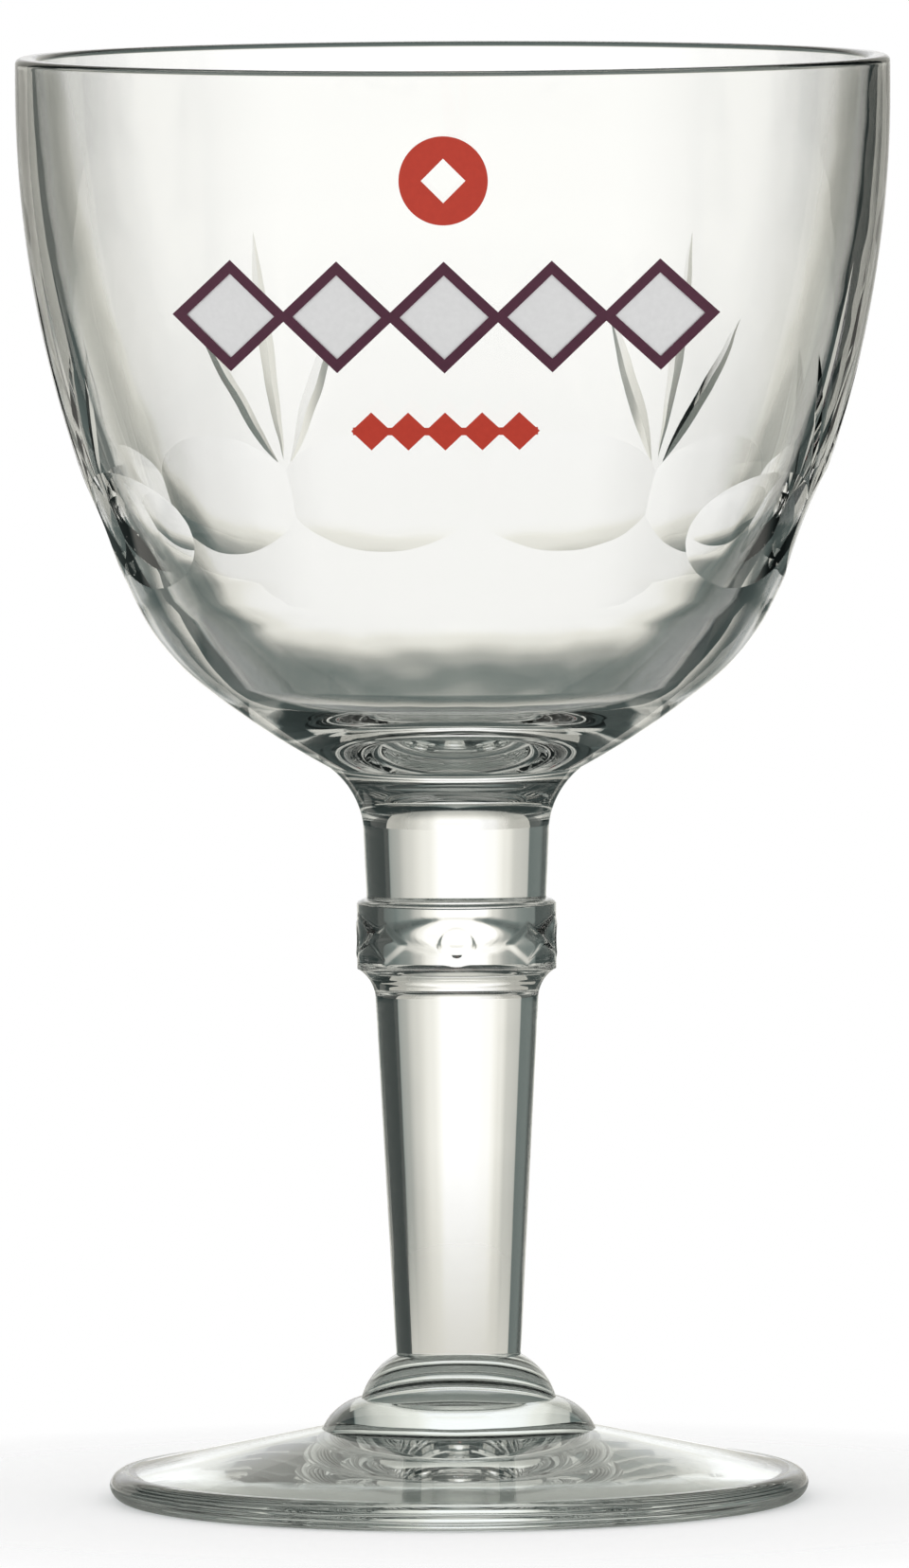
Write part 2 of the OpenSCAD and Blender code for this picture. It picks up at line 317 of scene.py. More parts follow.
def weld_plane():
    """Where two gobs of hot glass were pressed together: nothing of the joint is seen."""
    made, tree, out = new_material("weld_plane")
    clear = add(tree, "ShaderNodeBsdfTransparent")
    tree.links.new(clear.outputs["BSDF"], out.inputs["Surface"])
    return made


def fired_enamel(name, colour, speck):
    """Ceramic enamel fired on through a screen: satin, with a faint mottle of its pigment."""
    made, tree, out = new_material(name)
    mottle = noise(tree, MOTTLES_PER_METRE, 2.0)
    tone = add(tree, "ShaderNodeMix", [("Factor", mottle)], data_type="RGBA")
    tone.inputs["A"].default_value = linear(colour)
    tone.inputs["B"].default_value = linear(speck)
    grain = add(
        tree, "ShaderNodeBump", [("Height", mottle)], Strength=0.3, Distance=GRAIN_HEIGHT * MM
    )
    enamel = add(
        tree,
        "ShaderNodeBsdfPrincipled",
        [("Base Color", tone.outputs["Result"]), ("Normal", grain.outputs["Normal"])],
        Roughness=ENAMEL_ROUGHNESS,
        IOR=1.5,
    )
    tree.links.new(enamel.outputs["BSDF"], out.inputs["Surface"])
    return made


def arc_circle(p, q, share):
    """Centre and signed radius of the arc from p to q that bulges to the right of the way."""
    span = math.dist(p, q)
    way = (q - p) / span
    side = np.array([way[1], -way[0]])
    radius = span * (0.25 + share * share) / (2 * share)
    return (p + q) / 2 + side * (span * share - radius), radius, way, side


def curved(p, q, share, steps):
    """Points of an arc with their outward normals."""
    p, q = np.array(p, float), np.array(q, float)
    centre, radius, way, side = arc_circle(p, q, share)
    half = 2 * math.atan(2 * share)
    made = []
    for i in range(steps + 1):
        a = half * (2 * i / steps - 1)
        normal = side * math.cos(a) + way * math.sin(a)
        made.append((centre + radius * normal, normal))
    return made


def straight(p, q, steps=1):
    """Points of a straight stretch with their outward normal."""
    p, q = np.array(p, float), np.array(q, float)
    way = (q - p) / math.dist(p, q)
    side = np.array([way[1], -way[0]])
    return [(p + (q - p) * i / steps, side) for i in range(steps + 1)]


def segments_of(stretches):
    """The outline as segments: two ends and the normal at each."""
    return [
        (s[i][0], s[i + 1][0], s[i][1], s[i + 1][1])
        for s in stretches
        for i in range(len(s) - 1)
    ]


def new_object(name, vertices, faces):
    """A mesh object at the origin, with its place in its mesh, from points in millimetres."""
    mesh = bpy.data.meshes.new(name)
    mesh.from_pydata([tuple(c * MM for c in v) for v in vertices], [], faces)
    mesh.validate()
    made = bpy.data.objects.new(name, mesh)
    bpy.context.scene.collection.objects.link(made)
    return made


def turned(name, stretches, columns, relief=None):
    """A solid turned about Z from an outline that starts and ends on the axis."""
    rings = [stretches[0][0][0]] + [q for _, q, _, _ in segments_of(stretches)]
    vertices, starts = [], []
    for r, z in rings:
        starts.append(len(vertices))
        if r < POINT_RADIUS:
            vertices.append((0.0, 0.0, z))
            continue
        for j in range(columns):
            a = 2 * math.pi * j / columns
            rr = r + (relief(a, z) if relief else 0.0)
            vertices.append((rr * math.cos(a), rr * math.sin(a), z))
    faces = []
    for k in range(len(rings) - 1):
        low, high = starts[k], starts[k + 1]
        for j in range(columns):
            n = (j + 1) % columns
            if rings[k][0] < POINT_RADIUS:
                faces.append((low, high + n, high + j))
            elif rings[k + 1][0] < POINT_RADIUS:
                faces.append((low + j, low + n, high))
            else:
                faces.append((low + j, low + n, high + n, high + j))
    return new_object(name, vertices, faces)


def nearest_normals(points, segments):
    """Distance to the outline and its normal there, for points given as (radius, height)."""
    p = np.array([s[0] for s in segments])
    q = np.array([s[1] for s in segments])
    m = np.array([s[2] for s in segments])
    n = np.array([s[3] for s in segments])
    way = q - p
    length2 = (way**2).sum(1)
    distance = np.empty(len(points))
    normal = np.empty((len(points), 2))
    for start in range(0, len(points), POINTS_AT_ONCE):
        end = start + POINTS_AT_ONCE
        part = points[start:end]
        t = ((part[:, None] - p) * way).sum(2) / length2
        t = np.clip(t, 0, 1)
        gap = np.linalg.norm(part[:, None] - (p + t[..., None] * way), axis=2)
        best = gap.argmin(1)
        rows = np.arange(len(part))
        share = t[rows, best][:, None]
        distance[start:end] = gap[rows, best]
        normal[start:end] = m[best] * (1 - share) + n[best] * share
    return distance, normal / np.linalg.norm(normal, axis=1)[:, None]


def read_back(items, name, width, kind=float):
    """One property of all vertices, corners or faces of a mesh, as an array."""
    values = np.empty(len(items) * width, kind)
    items.foreach_get(name, values)
    return values.reshape(-1, width) if width > 1 else values


def beside_axis(points):
    """Points as (radius, height)."""
    return np.column_stack([np.hypot(points[:, 0], points[:, 1]), points[:, 2]])


def round_axis(points, flat):
    """Normals given as (outward, up), turned round the axis to where the points are."""
    radius = np.maximum(np.hypot(points[:, 0], points[:, 1]), 1e-9)
    return np.column_stack(
        [flat[:, 0] * points[:, 0] / radius, flat[:, 0] * points[:, 1] / radius, flat[:, 1]]
    )


def blend_cut_faces(mesh, normals, corner, owner, cut):
    """Gives a cut face's corners the mean normal of the cut faces that meet there, up to a crease."""
    facing = read_back(mesh.polygons, "normal", 3)
    area = read_back(mesh.polygons, "area", 1)
    faces_at = {}
    for face in np.nonzero(cut)[0]:
        for vertex in mesh.polygons[face].vertices:
            faces_at.setdefault(vertex, []).append(face)
    limit = math.cos(math.radians(CREASE_ANGLE))
    for index in np.nonzero(cut[owner])[0]:
        own = facing[owner[index]]
        near = [f for f in faces_at[corner[index]] if facing[f] @ own > limit]
        normals[index] = (facing[near] * area[near][:, None]).sum(0)


def polish(made, stretches, free=None):
    """Gives the turned faces the true normals of the outline, and blends those of cut faces."""
    mesh = made.data
    segments = segments_of(stretches)
    place = read_back(mesh.vertices, "co", 3) / MM
    corner = read_back(mesh.loops, "vertex_index", 1, int)
    totals = read_back(mesh.polygons, "loop_total", 1, int)
    facing = read_back(mesh.polygons, "normal", 3)
    centre = read_back(mesh.polygons, "center", 3) / MM
    owner = np.repeat(np.arange(len(totals)), totals)

    gap, normal = nearest_normals(beside_axis(centre), segments)
    agreement = (round_axis(centre, normal) * facing).sum(1)
    on_outline = (gap < OUTLINE_GAP) & (agreement > math.cos(math.radians(OUTLINE_ANGLE)))
    on_outline |= np.hypot(centre[:, 0], centre[:, 1]) < AXIS_RADIUS
    if free is not None:
        on_outline &= ~free(centre)

    inward = place[corner] * (1 - CORNER_PULL) + centre[owner] * CORNER_PULL
    _, flat = nearest_normals(beside_axis(inward), segments)
    normals = round_axis(place[corner], flat)
    blend_cut_faces(mesh, normals, corner, owner, ~on_outline)
    normals /= np.maximum(np.linalg.norm(normals, axis=1)[:, None], 1e-12)
    mesh.polygons.foreach_set("use_smooth", [True] * len(mesh.polygons))
    mesh.normals_split_custom_set([tuple(n) for n in normals])


def dress(made, glass, weld, weld_heights):
    """Glass all over, and the unseen weld where a face lies in a weld plane."""
    made.data.materials.clear()
    made.data.materials.append(glass)
    made.data.materials.append(weld)
    for face in made.data.polygons:
        flat = abs(face.normal.z) > LEVEL_NORMAL
        at_weld = any(abs(face.center.z / MM - z) < WELD_GAP for z in weld_heights)
        face.material_index = 1 if flat and at_weld else 0


def closed_strip(name, sections):
    """A solid from closed sections with the same number of points, capped at both ends."""
    count = len(sections[0])
    vertices = [p for section in sections for p in section]
    faces = []
    for k in range(len(sections) - 1):
        for j in range(count):
            n = (j + 1) % count
            faces.append(
                (k * count + j, k * count + n, (k + 1) * count + n, (k + 1) * count + j)
            )
    faces.append(tuple(range(count)))
    last = (len(sections) - 1) * count
    faces.append(tuple(last + j for j in range(count)))
    made = new_object(name, vertices, faces)
    edit = bmesh.new()
    edit.from_mesh(made.data)
    bmesh.ops.recalc_face_normals(edit, faces=edit.faces)
    edit.to_mesh(made.data)
    edit.free()
    return made


def plain_mesh(made):
    """Turns an object with modifiers into its own plain mesh."""
    shown = made.evaluated_get(bpy.context.evaluated_depsgraph_get())
    mesh = bpy.data.meshes.new_from_object(shown)
    made.modifiers.clear()
    made.data = mesh
    return made


def ring_tree(material):
    """Geometry nodes that repeat a shape round the axis."""
    tree = bpy.data.node_groups.new("repeat_round_the_axis", "GeometryNodeTree")
    face = tree.interface
    face.new_socket("Geometry", in_out="INPUT", socket_type="NodeSocketGeometry")
    count = face.new_socket("Count", in_out="INPUT", socket_type="NodeSocketInt")
    pitch = face.new_socket("Pitch", in_out="INPUT", socket_type="NodeSocketFloat")
    first = face.new_socket("First", in_out="INPUT", socket_type="NodeSocketFloat")
    face.new_socket("Geometry", in_out="OUTPUT", socket_type="NodeSocketGeometry")
    given = add(tree, "NodeGroupInput")
    line = add(tree, "GeometryNodeMeshLine", [("Count", given.outputs["Count"])])
    line.inputs["Offset"].default_value = (0.0, 0.0, 0.0)
    number = add(tree, "GeometryNodeInputIndex")
    turn = add(tree, "ShaderNodeMath", operation="MULTIPLY_ADD")
    tree.links.new(number.outputs["Index"], turn.inputs[0])
    tree.links.new(given.outputs["Pitch"], turn.inputs[1])
    tree.links.new(given.outputs["First"], turn.inputs[2])
    angles = add(tree, "ShaderNodeCombineXYZ", [("Z", turn.outputs[0])])
    copies = add(
        tree,
        "GeometryNodeInstanceOnPoints",
        [
            ("Points", line.outputs["Mesh"]),
            ("Instance", given.outputs["Geometry"]),
            ("Rotation", angles.outputs["Vector"]),
        ],
    )
    real = add(tree, "GeometryNodeRealizeInstances", [("Geometry", copies.outputs["Instances"])])
    dressed = add(tree, "GeometryNodeSetMaterial", [("Geometry", real.outputs["Geometry"])])
    dressed.inputs["Material"].default_value = material
    result = add(tree, "NodeGroupOutput")
    tree.links.new(dressed.outputs["Geometry"], result.inputs["Geometry"])
    return tree, {"Count": count.identifier, "Pitch": pitch.identifier, "First": first.identifier}


def repeated(made, tree, sockets, count, pitch, first):
    """The shape repeated round the axis, angles in degrees from +X."""
    modifier = made.modifiers.new("ring", "NODES")
    modifier.node_group = tree
    modifier[sockets["Count"]] = count
    modifier[sockets["Pitch"]] = math.radians(pitch)
    modifier[sockets["First"]] = math.radians(first)
    return plain_mesh(made)


def cut_away(made, cutters):
    """Takes the cutters' solids out of a piece."""
    for cutter in cutters:
        modifier = made.modifiers.new(cutter.name, "BOOLEAN")
        modifier.operation = "DIFFERENCE"
        modifier.solver = "EXACT"
        modifier.object = cutter
        plain_mesh(made)
        bpy.data.objects.remove(cutter)


# Side of the bowl between the shoulder and the widest line, a single arc
hip = (BOWL_RADIUS * HIP_SHARES[0], BOWL_WELD_Z + BOWL_HEIGHT * HIP_SHARES[1])
shoulder = (BOWL_RADIUS * SHOULDER_SHARES[0], BOWL_WELD_Z + BOWL_HEIGHT * SHOULDER_SHARES[1])
widest = (BOWL_RADIUS, LIP_Z - WIDEST_DROP)
side_centre, side_circle, _, _ = arc_circle(np.array(shoulder), np.array(widest), SIDE_BULGE)


def side_radius(z):
    """Radius of the side of the bowl at a height."""
    return side_centre[0] + math.sqrt(side_circle**2 - (z - side_centre[1]) ** 2)


def side_slope(z):
    """How far the side leans out at a height, in radians."""
    return math.asin((side_centre[1] - z) / side_circle)


def bowl_outline():
    """Outside of the bowl, the lip and the inside."""
    cavity_radius = BOWL_RADIUS - LIP_THICKNESS
    cavity_z = BOWL_WELD_Z + BOTTOM_THICKNESS
    depth = LIP_Z - cavity_z
    lip_z = LIP_Z - LIP_THICKNESS / 2
    outer_low = (BOWL_RADIUS, LIP_Z - LIP_ROUNDING)
    outer_top = (BOWL_RADIUS - LIP_ROUNDING, LIP_Z)
    inner_top = (cavity_radius + LIP_ROUNDING, LIP_Z)
    inner_low = (cavity_radius, LIP_Z - LIP_ROUNDING)
    weld = (BOWL_WELD_RADIUS, BOWL_WELD_Z)
    inner_hip = (cavity_radius * INNER_HIP_SHARES[0], cavity_z + depth * INNER_HIP_SHARES[1])
    inner_shoulder = (
        cavity_radius * INNER_SHOULDER_SHARES[0],
        cavity_z + depth * INNER_SHOULDER_SHARES[1],
    )
    return [
        straight((0, BOWL_WELD_Z), weld, 3),
        curved(weld, hip, BOTTOM_BULGE, 10),
        curved(hip, shoulder, HIP_BULGE, 8),
        curved(shoulder, widest, SIDE_BULGE, 30),
        straight(widest, outer_low),
        curved(outer_low, outer_top, QUARTER_CIRCLE_BULGE, 8),
        straight(outer_top, inner_top),
        curved(inner_top, inner_low, QUARTER_CIRCLE_BULGE, 8),
        straight(inner_low, (cavity_radius, lip_z)),
        curved((cavity_radius, lip_z), inner_shoulder, INNER_SIDE_BULGE, 30),
        curved(inner_shoulder, inner_hip, INNER_HIP_BULGE, 12),
        curved(inner_hip, (0, cavity_z), INNER_BOTTOM_BULGE, 14),
    ]


def oval_cutter(pitch):
    """Wheel with a barrel face that grinds one hollow oval, and the height of the oval's top."""
    z = BOWL_WELD_Z + OVAL_RISE
    slope = side_slope(z)
    floor = side_radius(z) - OVAL_DEPTH
    ridge = side_radius(z) - RIDGE_DEPTH
    sag = floor - ridge * math.cos(pitch / 2)
    half = ridge * math.sin(pitch / 2)
    sweep = (half**2 + sag**2) / (2 * sag)
    wheel = 1 / (8 * OVAL_DEPTH * math.cos(slope) / OVAL_LENGTH**2 - 1 / side_circle)
    axis = floor - sweep
    tube = sweep + wheel * math.cos(slope)
    tube_z = z - wheel * math.sin(slope)
    reach = math.asin(OVAL_LENGTH * OVAL_ARC_SHARE / wheel)
    spread = math.asin((half + OVAL_SPARE_WIDTH) / sweep)
    sections = []
    for i in range(OVAL_CUTTER_COLUMNS + 1):
        u = spread * (2 * i / OVAL_CUTTER_COLUMNS - 1)
        front = []
        for j in range(OVAL_CUTTER_ROWS + 1):
            v = slope + reach * (2 * j / OVAL_CUTTER_ROWS - 1)
            r = tube - wheel * math.cos(v)
            front.append((axis + r * math.cos(u), r * math.sin(u), tube_z + wheel * math.sin(v)))
        back = [(x + OVAL_CUTTER_THICKNESS, y, w) for x, y, w in reversed(front)]
        sections.append(front + back)
    return closed_strip("oval_cutter", sections), z + OVAL_LENGTH / 2 * math.cos(slope)


def stroke_cutter(name, length, lean, spread, foot_z):
    """Edge of a mitre wheel set on the side of the bowl, for one stroke of a fan."""
    rise = length / 2 * math.cos(lean)
    slope = side_slope(foot_z + rise)
    z = foot_z + rise * math.cos(slope)
    radius = side_radius(z)
    turn = (length / 2 * math.sin(lean) + spread) / radius
    curve = 1 / (
        math.cos(lean) ** 2 / side_circle + math.sin(lean) ** 2 * math.cos(slope) / radius
    )
    wheel = 1 / (8 * CUT_DEPTH / length**2 - 1 / curve)
    reach = CUT_DEPTH * STROKE_REACH_SHARE
    half_width = reach * math.tan(math.radians(CUT_ANGLE / 2))
    arc = math.asin(length * STROKE_ARC_SHARE / wheel)
    place = (
        Matrix.Rotation(turn, 4, "Z")
        @ Matrix.Translation((radius, 0, z))
        @ Matrix.Rotation(slope, 4, "Y")
        @ Matrix.Rotation(-lean, 4, "X")
    )
    sections = []
    for i in range(STROKE_CUTTER_STEPS + 1):
        t = arc * (2 * i / STROKE_CUTTER_STEPS - 1)
        section = []
        for r, y in ((wheel, 0.0), (wheel - reach, half_width), (wheel - reach, -half_width)):
            point = Vector((wheel - CUT_DEPTH - r * math.cos(t), y, r * math.sin(t)))
            section.append(tuple(place @ point))
        sections.append(section)
    return closed_strip(name, sections)


def make_bowl(glass, weld):
    """The bowl with its ring of ovals and fans, cut as a cutter would."""
    outline = bowl_outline()
    bowl = turned("bowl_glass", outline, BOWL_COLUMNS)
    pitch = (360 - PLAIN_ANGLE) / OVAL_COUNT
    first = PATTERN_TURN + FRONT_ANGLE + PLAIN_ANGLE / 2
    tree, sockets = ring_tree(glass)
    cutters = []
    # Neighbouring ovals overlap, so every second one is cut in a pass of its own
    for odd in (0, 1):
        cutter, top = oval_cutter(math.radians(pitch))
        start = first + (odd + 0.5) * pitch
        cutters.append(repeated(cutter, tree, sockets, OVAL_COUNT // 2, 2 * pitch, start))
    lean = math.radians(SLANT_LEAN)
    spread = SLANT_CUT_LENGTH * SLANT_SPREAD_SHARE
    for name, length, tilt, side in (
        ("upright_cut", UPRIGHT_CUT_LENGTH, 0.0, 0.0),
        ("right_cut", SLANT_CUT_LENGTH, lean, spread),
        ("left_cut", SLANT_CUT_LENGTH, -lean, -spread),
    ):
        cutter = stroke_cutter(name, length, tilt, side, top - FAN_DROP)
        start = first + pitch
        cutters.append(repeated(cutter, tree, sockets, OVAL_COUNT // 2, 2 * pitch, start))
    cut_away(bowl, cutters)
    polish(bowl, outline)
    dress(bowl, glass, weld, [BOWL_WELD_Z])
    return bowl


def stem_outline():
    """Shank, collar, neck and flare, between the two welds."""
    collar_top = BOWL_WELD_Z - COLLAR_DROP
    collar_low = collar_top - COLLAR_HEIGHT
    ledge = (COLLAR_RADIUS - NECK_RADIUS) / 2
    shank_top = (SHANK_RADIUS, collar_low)
    low = (COLLAR_RADIUS, collar_low + COLLAR_HEIGHT * COLLAR_SLOPE_SHARE)
    high = (COLLAR_RADIUS, collar_top - ledge)
    neck = (NECK_RADIUS, collar_top)
    neck_top = (NECK_TOP_RADIUS, BOWL_WELD_Z - COLLAR_DROP * FLARE_SHARE)
    return [
        straight((0, FOOT_WELD_Z), (FOOT_WELD_RADIUS, FOOT_WELD_Z), 2),
        straight((FOOT_WELD_RADIUS, FOOT_WELD_Z), shank_top, 8),
        curved(shank_top, low, COLLAR_SLOPE_BULGE, 8),
        straight(low, high, 36),
        curved(high, neck, COLLAR_LEDGE_BULGE, 6),
        straight(neck, neck_top, 2),
        curved(neck_top, (BOWL_WELD_RADIUS, BOWL_WELD_Z), FLARE_BULGE, 16),
        straight((BOWL_WELD_RADIUS, BOWL_WELD_Z), (0, BOWL_WELD_Z), 3),
    ]


def smooth(value, low, high):
    """0 below low, 1 above high and a soft S between."""
    t = min(max((value - low) / (high - low), 0.0), 1.0)
    return t * t * (3 - 2 * t)


def collar_relief(angle, z):
    """Height of the moulded relief at a place on the collar."""
    if abs(z - RELIEF_Z) > RELIEF_REACH:
        return 0.0
    pitch = 2 * math.pi / RELIEF_COUNT
    number = round(angle / pitch)
    across = (angle - number * pitch) * COLLAR_RADIUS
    up = z - RELIEF_Z
    if number % 2:
        share = 1 - abs(across) / LOZENGE_HALF_WIDTH - abs(up) / LOZENGE_HALF_HEIGHT
        inside = share * LOZENGE_INNER_RADIUS
    else:
        inside = RING_HALF_WIDTH - abs(math.hypot(across, up) - RING_RADIUS)
    return RELIEF_HEIGHT * smooth(inside, *RELIEF_SOFT_EDGE)


def make_stem(glass, weld):
    """The stem with its collar in low relief."""
    outline = stem_outline()
    stem = turned("stem_glass", outline, STEM_COLUMNS, collar_relief)

    def in_relief(centre):
        radius = np.hypot(centre[:, 0], centre[:, 1])
        return (abs(centre[:, 2] - RELIEF_Z) < RELIEF_FREE_REACH) & (radius > NECK_RADIUS)

    polish(stem, outline, in_relief)
    dress(stem, glass, weld, [BOWL_WELD_Z, FOOT_WELD_Z])
    return stem


def foot_outline():
    """Rounded edge, sloping top, step and dome, and the hollow underside."""
    rest_radius = FOOT_RADIUS - FOOT_EDGE * REST_INSET_SHARE
    edge = (FOOT_RADIUS, FOOT_EDGE * EDGE_HEIGHT_SHARE)
    brim = (rest_radius, FOOT_EDGE)
    step_z = FOOT_EDGE + (rest_radius - STEP_RADIUS) * FOOT_SLOPE
    dome_z = step_z + (FOOT_WELD_Z - step_z) * DOME_RISE_SHARE
    kick = (rest_radius - REST_WIDTH, 0)
    return [
        curved((0, KICK_HEIGHT), kick, KICK_BULGE, 16),
        straight(kick, (rest_radius, 0)),
        curved((rest_radius, 0), edge, EDGE_BULGE, 8),
        curved(edge, brim, EDGE_BULGE, 8),
        straight(brim, (STEP_RADIUS, step_z), 8),
        curved((STEP_RADIUS, step_z), (DOME_RADIUS, dome_z), STEP_BULGE, 10),
        curved((DOME_RADIUS, dome_z), (FOOT_WELD_RADIUS, FOOT_WELD_Z), DOME_BULGE, 10),
        straight((FOOT_WELD_RADIUS, FOOT_WELD_Z), (0, FOOT_WELD_Z), 2),
    ]


def make_foot(glass, weld):
    """The foot, turned in one piece."""
    outline = foot_outline()
    foot = turned("foot_glass", outline, FOOT_COLUMNS)
    polish(foot, outline)
    dress(foot, glass, weld, [FOOT_WELD_Z])
    return foot


def ramp(tree, source, stops):
    """A smooth grey level over 0 to 1, from stops written as (place, level)."""
    made = add(tree, "ShaderNodeValToRGB", [("Fac", source)])
    made.color_ramp.interpolation = "EASE"
    elements = made.color_ramp.elements
    while len(elements) > 1:
        elements.remove(elements[-1])
    for i, (place, level) in enumerate(stops):
        element = elements[0] if i == 0 else elements.new(place)
        element.position = place
        element.color = (level, level, level, 1.0)
    return made.outputs["Color"]


def degrees(stops):
    """Stops at degrees from -90 to 90, moved to 0 to 1."""
    return [(angle / 180 + 0.5, level) for angle, level in stops]


def maths(tree, operation, first, second=None, third=None):
    """A Math node on sockets or numbers."""
    made = add(tree, "ShaderNodeMath", operation=operation)
    for i, value in enumerate((first, second, third)):
        if value is None:
            continue
        if isinstance(value, (int, float)):
            made.inputs[i].default_value = value
        else:
            tree.links.new(value, made.inputs[i])
    return made.outputs[0]


def blended(tree, factor, first, second):
    """Colours mixed by a factor."""
    made = add(tree, "ShaderNodeMix", [("Factor", factor)], data_type="RGBA")
    for socket, value in ((made.inputs[6], first), (made.inputs[7], second)):
        if isinstance(value, (list, tuple)):
            socket.default_value = value
        else:
            tree.links.new(value, socket)
    return made.outputs[2]


def studio_colour(tree, level):
    """Colour of the studio's light at a level from 0 to 1, also used for the table's painted shade
    and light.
    """
    made = add(tree, "ShaderNodeValToRGB", [("Fac", level)])
    elements = made.color_ramp.elements
    elements[0].position = 0.0
    elements[0].color = linear(STUDIO_DARKEST)
    elements[1].position = 1.0
    elements[1].color = linear(STUDIO_BRIGHTEST)
    for place, colour in STUDIO_BETWEEN:
        elements.new(place).color = linear(colour)
    return made.outputs["Color"]


def plain_rays(tree):
    """1 for what the camera sees straight on and for the light that falls on dull things."""
    path = add(tree, "ShaderNodeLightPath")
    dull = maths(tree, "GREATER_THAN", path.outputs["Diffuse Depth"], 0.5)
    return maths(tree, "MAXIMUM", path.outputs["Is Camera Ray"], dull)


def share_aside(tree, azimuth):
    """How far to either side of straight behind, as a share of a half turn."""
    return maths(tree, "MULTIPLY", maths(tree, "ABSOLUTE", azimuth), 1 / math.pi)


def faded(tree, out, shader, factor):
    """Ends a material with a shader that turns clear as the factor goes to 1."""
    clear = add(tree, "ShaderNodeBsdfTransparent")
    mixed = add(tree, "ShaderNodeMixShader", [("Fac", factor)])
    tree.links.new(shader.outputs["BSDF"], mixed.inputs[1])
    tree.links.new(clear.outputs["BSDF"], mixed.inputs[2])
    tree.links.new(mixed.outputs["Shader"], out.inputs["Surface"])


def make_floor():
    """A pale table that keeps the object's shadow and fades into the white behind it. Seen through
    the glass its colour holds painted shade under and behind the glass and painted light beside it.
    """
    corners = [(x * TABLE_REACH, y * TABLE_REACH, 0) for x, y in ((-1, -1), (1, -1), (1, 1), (-1, 1))]
    floor = new_object("floor", corners, [(0, 1, 2, 3)])
    made, tree, out = new_material("pale_table_painted_light_and_shade")
    place = add(tree, "ShaderNodeTexCoord").outputs["Object"]
    away = add(tree, "ShaderNodeVectorMath", [("Vector", place)], operation="LENGTH")
    distance = away.outputs["Value"]
    # Painted shade and light: seen through the glass, the table's colour is darker under and behind
    # it and lighter beside it, in the studio's light colours
    split = add(tree, "ShaderNodeSeparateXYZ", [("Vector", place)])
    azimuth = maths(tree, "ARCTAN2", split.outputs["X"], split.outputs["Y"])
    beside = ramp(tree, share_aside(tree, azimuth), TABLE_PAINTED_LIGHT_AND_SHADE_BESIDE)
    behind = ramp(tree, distance, TABLE_PAINTED_SHADE_BEHIND)
    seen = studio_colour(tree, maths(tree, "MAXIMUM", behind, beside))
    colour = blended(tree, plain_rays(tree), seen, linear("#FFFFFF"))
    top = add(tree, "ShaderNodeBsdfDiffuse", [("Color", colour)])
    edge = add(tree, "ShaderNodeMapRange", [("Value", distance)], interpolation_type="SMOOTHSTEP")
    edge.inputs["From Min"].default_value = TABLE_FADE[0] * MM
    edge.inputs["From Max"].default_value = TABLE_FADE[1] * MM
    faded(tree, out, top, edge.outputs["Result"])
    floor.data.materials.append(made)


def make_card(name, near, far, heights, colour, thinning=None):
    """A card at the back, seen only in the glass. Thinning is an axis and densities along it."""
    low, high = heights
    corners = [(x, CARD_DISTANCE, z) for x, z in ((near, low), (far, low), (far, high), (near, high))]
    card = new_object(name, corners, [(0, 1, 2, 3)])
    made, tree, out = new_material(name + "_paper")
    paper = add(tree, "ShaderNodeBsdfDiffuse", Color=linear(colour))
    path = add(tree, "ShaderNodeLightPath")
    unseen = maths(tree, "MAXIMUM", plain_rays(tree), path.outputs["Is Shadow Ray"])
    if thinning:
        axis, densities = thinning
        place = add(tree, "ShaderNodeTexCoord")
        split = add(tree, "ShaderNodeSeparateXYZ", [("Vector", place.outputs["Object"])])
        away = maths(tree, "ABSOLUTE", split.outputs[axis])
        density = ramp(tree, maths(tree, "MULTIPLY", away, 1 / (CARD_REACH * MM)), densities)
        thin = maths(tree, "SUBTRACT", 1.0, density)
        unseen = maths(tree, "MAXIMUM", unseen, thin)
    faded(tree, out, paper, unseen)
    card.data.materials.append(made)


def lit_patch(tree, across, across_stops, height, up_stops):
    """Light that has its own levels across and up."""
    sideways = ramp(tree, across, across_stops)
    upwards = ramp(tree, height, degrees(up_stops))
    return maths(tree, "MULTIPLY", sideways, upwards)


def screen_light(tree, across, aside, height):
    """The screen behind the glass."""
    screen = ramp(tree, across, degrees(SCREEN_ACROSS))
    above_edge = maths(tree, "SUBTRACT", height, ramp(tree, aside, SCREEN_EDGE_RISE))
    rise = ramp(tree, above_edge, degrees(SCREEN_UP))
    path = add(tree, "ShaderNodeLightPath")
    upper = ramp(tree, height, degrees(REFLECTED_UP))
    reflected = maths(tree, "MULTIPLY", upper, path.outputs["Is Glossy Ray"])
    return maths(tree, "MULTIPLY", screen, maths(tree, "MAXIMUM", rise, reflected))


def brightest(tree, levels):
    """The highest of several levels."""
    highest = levels[0]
    for level in levels[1:]:
        highest = maths(tree, "MAXIMUM", highest, level)
    return highest


